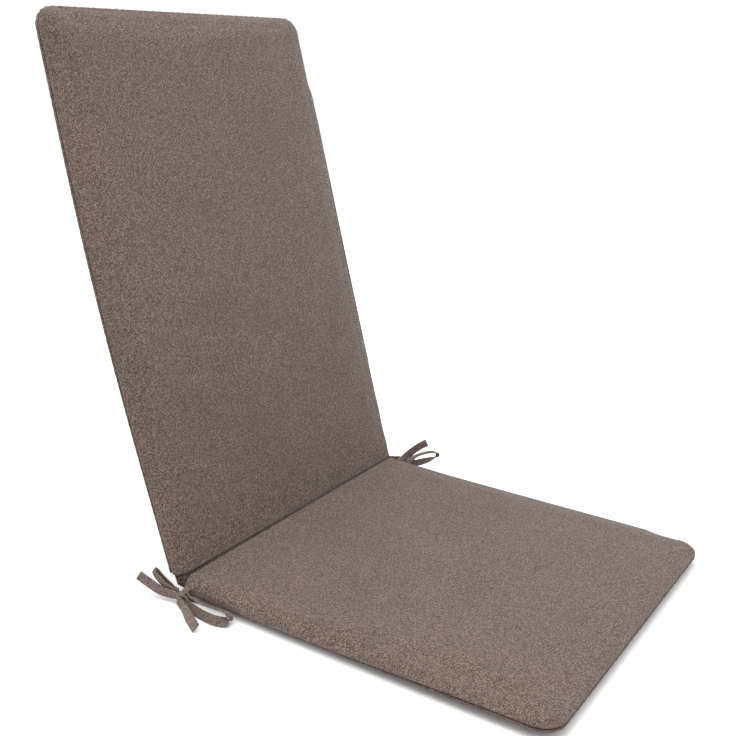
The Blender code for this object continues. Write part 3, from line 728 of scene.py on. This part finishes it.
def make_tie(name, side, loop, loop_across, tail, tail_across, material):
    """One free length of tape: out of the knot, round its loop, back through the knot and out as its tail."""
    loop_path = smooth_path(route_points(side, loop), 90)
    tail_path = smooth_path(route_points(side, tail), 34)
    loop_wide = smooth_path([Vector((side * a, b, c)) for a, b, c in loop_across], 90)
    tail_wide = smooth_path([Vector((side * a, b, c)) for a, b, c in tail_across], 34)
    way_in = (loop_path[-1] - loop_path[-2]).normalized()
    way_out = (tail_path[1] - tail_path[0]).normalized()
    a, d = loop_path[-1], tail_path[0]
    reach = 0.0035
    bridge, bridge_wide = [], []
    for step in range(1, 8):
        t = step / 8
        p = a + way_in * reach
        q = d - way_out * reach
        bridge.append(a * (1 - t) ** 3 + p * (3 * t * (1 - t) ** 2) + q * (3 * t * t * (1 - t)) + d * t ** 3)
        wide_a, wide_b = loop_wide[-1].normalized(), tail_wide[0].normalized()
        if wide_a.dot(wide_b) < 0:
            wide_b = -wide_b
        bridge_wide.append(wide_a.lerp(wide_b, t))
    if loop_wide[-1].dot(tail_wide[0]) < 0:
        tail_wide = [-w for w in tail_wide]
    path = loop_path + bridge + tail_path
    wide = loop_wide + bridge_wide + tail_wide
    tape = ribbon(name, path, wide, TAPE_WIDTH, TAPE_THICKNESS, material)
    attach(tape, "seat")
    word, which = name.split("_")[:2]
    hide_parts(f"{word}_tie_{which}_loop", f"{word}_tie_{which}_tail")
    return tape


KNOT_LOW, KNOT_HIGH = (Vector(corner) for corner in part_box("left_tie_knot"))
KNOT_MIDDLE = (KNOT_LOW + KNOT_HIGH) / 2
KNOT_SIZE = KNOT_HIGH - KNOT_LOW
KNOT_OUT = -KNOT_MIDDLE.x - HALF_WIDTH
KNOT_BACK = KNOT_MIDDLE.y - FOLD.y
KNOT_UP = KNOT_MIDDLE.z - FOLD.z


def make_knot(word, side, material):
    """The bow's knot: a tape wound one and a half times round the others, pinched at its waist."""
    centre = Vector((side * (HALF_WIDTH + KNOT_OUT), FOLD.y + KNOT_BACK, FOLD.z + KNOT_UP - sag_on(side)))
    half_x, half_z = KNOT_SIZE.x / 2 - TAPE_THICKNESS * 0.5, KNOT_SIZE.z / 2 - TAPE_THICKNESS * 0.5
    path, across = [], []
    turns, steps = 1.6, 72
    for step in range(steps + 1):
        share = step / steps
        turn = share * turns * math.tau + (0.5 if side < 0 else 2.2)
        grow = 0.80 + 0.20 * share
        c, sn = math.cos(turn), math.sin(turn)
        square = (abs(c) ** 2.6 + abs(sn) ** 2.6) ** (-1 / 2.6)
        lean = 0.0026 * (share - 0.5) + 0.0012 * math.sin(turn)
        path.append(centre + Vector((side * half_x * grow * c * square, lean, half_z * grow * sn * square)))
        across.append(Vector((0.10 * math.sin(turn + 0.8), 1.0, 0.22 * math.cos(turn))))
    wrap = ribbon(word + "_knot", path, across, KNOT_SIZE.y * 0.74, TAPE_THICKNESS, material)
    core_points, core_faces, cloth = [], [], []
    rings, sides = 14, 20
    for ring in range(rings + 1):
        y = (ring / rings - 0.5) * KNOT_SIZE.y * 0.96
        fat = (0.50 + 0.36 * math.cos(math.pi * (ring / rings - 0.5)))
        for i in range(sides):
            turn = i * math.tau / sides
            wave = 1 + 0.09 * math.sin(3 * turn + ring * 0.4)
            core_points.append(centre + Vector((half_x * fat * wave * math.cos(turn), y,
                                                half_z * fat * wave * math.sin(turn))))
            cloth.append((i * 0.0015, ring * 0.001, 1.0))
    for ring in range(rings):
        for i in range(sides):
            j = (i + 1) % sides
            a, b = ring * sides, (ring + 1) * sides
            core_faces.append((a + i, a + j, b + j, b + i))
    core_faces.append(list(range(sides))[::-1])
    core_faces.append([rings * sides + i for i in range(sides)])
    core = object_from(word + "_knot_core", core_points, core_faces, material, cloth)
    for piece in (wrap, core):
        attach(piece, "seat")
        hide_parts(f"{word}_tie_knot")


def make_root(word, side, material):
    """Both tapes' sewn-in ends between the fold's seam and the knot, pinched together at the knot."""
    low, high = (Vector(corner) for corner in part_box(f"{word}_tie_root"))
    inner, outer = (high.x, low.x) if side < 0 else (low.x, high.x)
    middle_y = (low.y + high.y) / 2
    for number, up in ((1, 1), (2, -1)):
        middle_z = (low.z + high.z) / 2 - sag_on(side)
        height = (low.z + high.z) / 2 - float(fold_dip(inner)) + up * 0.0009
        start = Vector((inner - side * 0.003, middle_y, height))
        end = Vector((outer + side * 0.004, middle_y + up * 0.0006, middle_z + up * 0.0012))
        bend = (start + end) / 2 + Vector((0.0, -0.0006, up * 0.0006))
        path = smooth_path([start, bend, end], 14)
        across = smooth_path([Vector((0.0, 1.0, rise)) for rise in (0.05 * up, 0.18, 0.5 * up)], 14)
        piece = ribbon(f"{word}_root_{number}", path, across, high.y - low.y, TAPE_THICKNESS, material)
        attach(piece, "seat")
        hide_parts(f"{word}_tie_root")


# --- Fold ----------------------------------------------------------------------------------------


def make_fold(material):
    """The joined edges of both covers along the fold: a narrow web of cloth with a gathered, uneven edge."""
    half = HALF_WIDTH - 0.0010
    steps = 320
    points, faces, cloth = [], [], []
    between = (FLAT_TO_REST + math.pi) / 2
    down = Vector((0.0, math.cos(between + math.pi), math.sin(between + math.pi)))
    forward = Vector((0.0, -1.0, 0.0))
    for number in range(steps + 1):
        x = half * math.sin((number / steps - 0.5) * math.pi)
        ripple = 0.00016 * math.sin(x * 900) + 0.00012 * math.sin(x * 517 + 1.0)
        rounded = max(0.0, abs(x) - (HALF_WIDTH - R))
        fall = R - math.sqrt(R * R - rounded * rounded)
        start = Vector((x, FOLD.y, FOLD.z - float(fold_dip(x))))
        on_seat = start + forward * WEB_REACH - Vector((0.0, 0.0, fall))
        on_back = start + BACK_WAY * WEB_REACH + Vector((0.0, BACK_WAY.z, -BACK_WAY.y)) * fall
        crease = start + down * (fall / math.sin(between - FLAT_TO_REST)) - down * (0.0010 + ripple)
        for i, (point, drop) in enumerate(((on_seat, 0.0022), (crease, 0.0018), (on_back, 0.0022),
                                           (on_back, 0.0031), (crease, 0.0027), (on_seat, 0.0031))):
            points.append(point + down * drop)
            # A seam distance of 0.0005 puts the whole web in the weave's painted seam shade.
            cloth.append((x, i * 0.003, 0.0005))
    for number in range(steps):
        for i in range(6):
            j = (i + 1) % 6
            a, b = number * 6, (number + 1) * 6
            faces.append((a + i, b + i, b + j, a + j))
    faces.append([0, 1, 2, 3, 4, 5])
    faces.append([steps * 6 + i for i in (5, 4, 3, 2, 1, 0)])
    web = object_from("fold_web", points, faces, material, cloth)
    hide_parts("fold_seam")
    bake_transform(web)


# --- Stage ---------------------------------------------------------------------------------------


def make_stage():
    floor_material = Nodes("floor_white")
    floor_material.shader.inputs["Base Color"].default_value = (0.98, 0.98, 0.98, 1.0)
    floor_material.shader.inputs["Roughness"].default_value = 0.9
    data = bpy.data.meshes.new("floor")
    size = 14.0
    z = SEAT_LOW.z - 0.0004
    corners = [(-size, -size, z), (size, -size, z), (size, size, z), (-size, size, z)]
    data.from_pydata(corners, [], [(0, 1, 2, 3)])
    data.materials.append(floor_material.material)
    floor = bpy.data.objects.new("floor", data)
    bpy.context.scene.collection.objects.link(floor)
    world = bpy.data.worlds.new("studio")
    world.use_nodes = True
    background = world.node_tree.nodes["Background"]
    background.inputs["Color"].default_value = (1.0, 1.0, 1.0, 1.0)
    background.inputs["Strength"].default_value = 1.02
    bpy.context.scene.world = world
    bpy.context.scene.view_settings.view_transform = "Standard"
    bpy.context.scene.view_settings.look = "None"
    for name, place, target, size, power in (
        ("overhead", (-0.3, 0.6, 2.6), (0.0, 0.1, 0.2), 3.0, 84.0),
        ("key", (-1.6, -1.8, 2.4), (0.0, 0.1, 0.2), 2.4, 5.0),
        ("fill", (1.9, -1.4, 1.8), (0.0, 0.1, 0.2), 2.4, 3.0),
    ):
        light = bpy.data.lights.new(name, "AREA")
        light.size = size
        light.energy = power
        made = bpy.data.objects.new(name, light)
        bpy.context.scene.collection.objects.link(made)
        made.location = place
        made.rotation_euler = (Vector(target) - Vector(place)).to_track_quat("-Z", "Y").to_euler()


# --- Panel shapes --------------------------------------------------------------------------------


def back_seam(px, py, pad):
    """The back's side seam lies a little nearer its front face, but for the end at the fold."""
    away = 1 - smoothstep(px, -0.5 * HALF_WIDTH, 0.5 * HALF_WIDTH)
    return np.radians(away * (13.0 * smoothstep(py, 0.05, 0.40) - 5.0))


def seat_seam(px, py, pad):
    """The seat's side seam runs lower towards the fold, on the side away from the zip."""
    away = 1 - smoothstep(px, -0.5 * HALF_WIDTH, 0.5 * HALF_WIDTH)
    return -math.radians(36) * away * (1 - smoothstep(py, 0.10, 0.46))


def fold_dip(x):
    """How far the fold sags towards the side away from the zip."""
    return FOLD_DIP * np.clip((0.10 - x) / (0.10 + HALF_WIDTH), 0.0, 1.0)


def seat_shape(points, pad):
    share = (1 - points[:, 0] / HALF_WIDTH) / 2
    middle = 1 - ((points[:, 1] - pad.length / 2) / (pad.length / 2)) ** 2
    bulge = smoothstep(np.abs(points[:, 0]), 0.1, HALF_WIDTH) * 0.002 * middle * share
    points[:, 0] += np.sign(points[:, 0]) * bulge
    top = smoothstep(points[:, 2], 0.0, R)
    near = np.exp(-(((HALF_WIDTH + points[:, 0]) - 0.026) / 0.012) ** 2)
    length = smoothstep(points[:, 1], 0.20, 0.34) * (1 - smoothstep(points[:, 1], 0.42, 0.475))
    points[:, 2] -= 0.0026 * top * near * length * (1 + 0.35 * waves(points[:, 1], 41, (0.03, 0.08), 4))
    by_fold = 1 - smoothstep(points[:, 1], 0.0, 0.14)
    points[:, 2] -= fold_dip(points[:, 0]) * by_fold * smoothstep(points[:, 2], -R, R)
    return points


def back_shape(points, pad):
    """The back panel bows a little to the rear between its ends, and its free side bulges."""
    share = np.clip((1 - points[:, 0] / HALF_WIDTH) / 2, 0.0, 1.1)
    t = np.clip(points[:, 1] / pad.length, 0, 1)
    middle = np.sin(math.pi * t) ** 1.2
    points[:, 2] -= (0.0015 + 0.0045 * share) * middle
    out = smoothstep(np.abs(points[:, 0]), 0.05, HALF_WIDTH)
    points[:, 0] += np.sign(points[:, 0]) * out * (0.001 + 0.005 * share) * middle
    sag = np.minimum(fold_dip(points[:, 0]), BACK_DIP) * (1 - smoothstep(points[:, 1], 0.0, 0.09))
    points[:, 1] -= sag * math.sin(FLAT_TO_REST)
    points[:, 2] -= sag * math.cos(FLAT_TO_REST)
    return points


def make_coil(prefix, part, way, up, material):
    """The zip's closed teeth: rounded bars that reach across the gap from either tape in turn."""
    upper = np.array([v.co for v in nodes[prefix + "_zip_upper_stringer"].data.vertices])
    lower = np.array([v.co for v in nodes[prefix + "_zip_lower_stringer"].data.vertices])
    places = (upper - np.array(FOLD)) @ np.array(way)
    gap_middle = ((upper @ np.array(up)).min() + (lower @ np.array(up)).max()) / 2
    front = upper[:, 0].max()
    points, faces, cloth = [], [], []
    sides = 8
    profile = ((-1.0, 0.25), (-0.82, 0.80), (-0.3, 1.0), (0.3, 1.0), (0.82, 0.80), (1.0, 0.25))
    count = int((places.max() - places.min() - 0.006) / COIL_PITCH)
    base = Vector(FOLD) - up * Vector(FOLD).dot(up)
    for number in range(count):
        along = places.min() + 0.003 + (number + 0.5) * COIL_PITCH
        shift = COIL_OFFSET if number % 2 else -COIL_OFFSET
        middle = base + way * along + up * (gap_middle + shift)
        middle.x = front - COIL_DEPTH / 2 + 0.0001
        first = len(points)
        for reach, fat in profile:
            for i in range(sides):
                turn = i * math.tau / sides
                points.append(middle + up * (reach * COIL_REACH)
                              + way * (fat * COIL_WIDTH / 2 * math.cos(turn))
                              + Vector((1, 0, 0)) * (fat * COIL_DEPTH / 2 * math.sin(turn)))
                cloth.append((reach * COIL_REACH, along, 1.0))
        rings = len(profile)
        for ring in range(rings - 1):
            for i in range(sides):
                j = (i + 1) % sides
                a, b = first + ring * sides, first + (ring + 1) * sides
                faces.append((a + i, a + j, b + j, b + i))
        faces.append([first + i for i in range(sides)][::-1])
        faces.append([first + (rings - 1) * sides + i for i in range(sides)])
    coil = object_from(prefix + "_zip_coil", points, faces, material, cloth)
    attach(coil, part)
    return coil


def zip_span(prefix, way, origin):
    places = [(v.co - origin).dot(way) for v in nodes[prefix + "_zip_upper_stringer"].data.vertices]
    return min(places) - 0.002, max(places) + 0.002


# --- Everything ----------------------------------------------------------------------------------

make_camera()
cover_cloth = weave_material("cover_cloth")
# The ties' weave has finer threads and a lighter tone, which paints in light falling on the tapes.
tie_cloth = weave_material("tie_cloth", THREAD * 0.8, 1.12)
zip_cloth = weave_material("zip_cloth", THREAD * 0.6, 0.6)
zip_metal = metal_material("zip_metal_look")

for tie_name, (tie_side, loop, loop_wide, tail, tail_wide) in ROUTES.items():
    make_tie(tie_name + "_tie", tie_side, loop, loop_wide, tail, tail_wide, tie_cloth)
for tie_word, tie_side in (("left", LEFT), ("right", RIGHT)):
    make_knot(tie_word, tie_side, tie_cloth)
    make_root(tie_word, tie_side, tie_cloth)

seat = Pad("seat_pad", SEAT_LENGTH, -1, SEAT_FRAME, seat_seam, seat_shape)
back = Pad("back_pad", BACK_LENGTH, 1, BACK_FRAME, back_seam, back_shape)
seat_skin = make_pad(seat, 11, zip_span("seat", Vector((0, -1, 0)), FOLD), cover_cloth)
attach(seat_skin, "seat")
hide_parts("seat_cover_top", "seat_cover_underside", "seat_foam")
back_skin = make_pad(back, 23, zip_span("back", BACK_WAY, FOLD), cover_cloth)
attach(back_skin, "back")
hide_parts("back_cover_front", "back_cover_rear", "back_foam")
make_fold(cover_cloth)
coil_nylon = nylon_material("coil_nylon")
make_coil("seat", "seat", Vector((0, -1, 0)), Vector((0, 0, 1)), coil_nylon)
make_coil("back", "back", BACK_WAY, Vector((0, -BACK_WAY.z, BACK_WAY.y)), coil_nylon)

for node_name, node in nodes.items():
    if "zip" in node_name:
        look = zip_cloth if "stringer" in node_name else zip_metal
        node.data.materials.clear()
        node.data.materials.append(look)

make_stage()
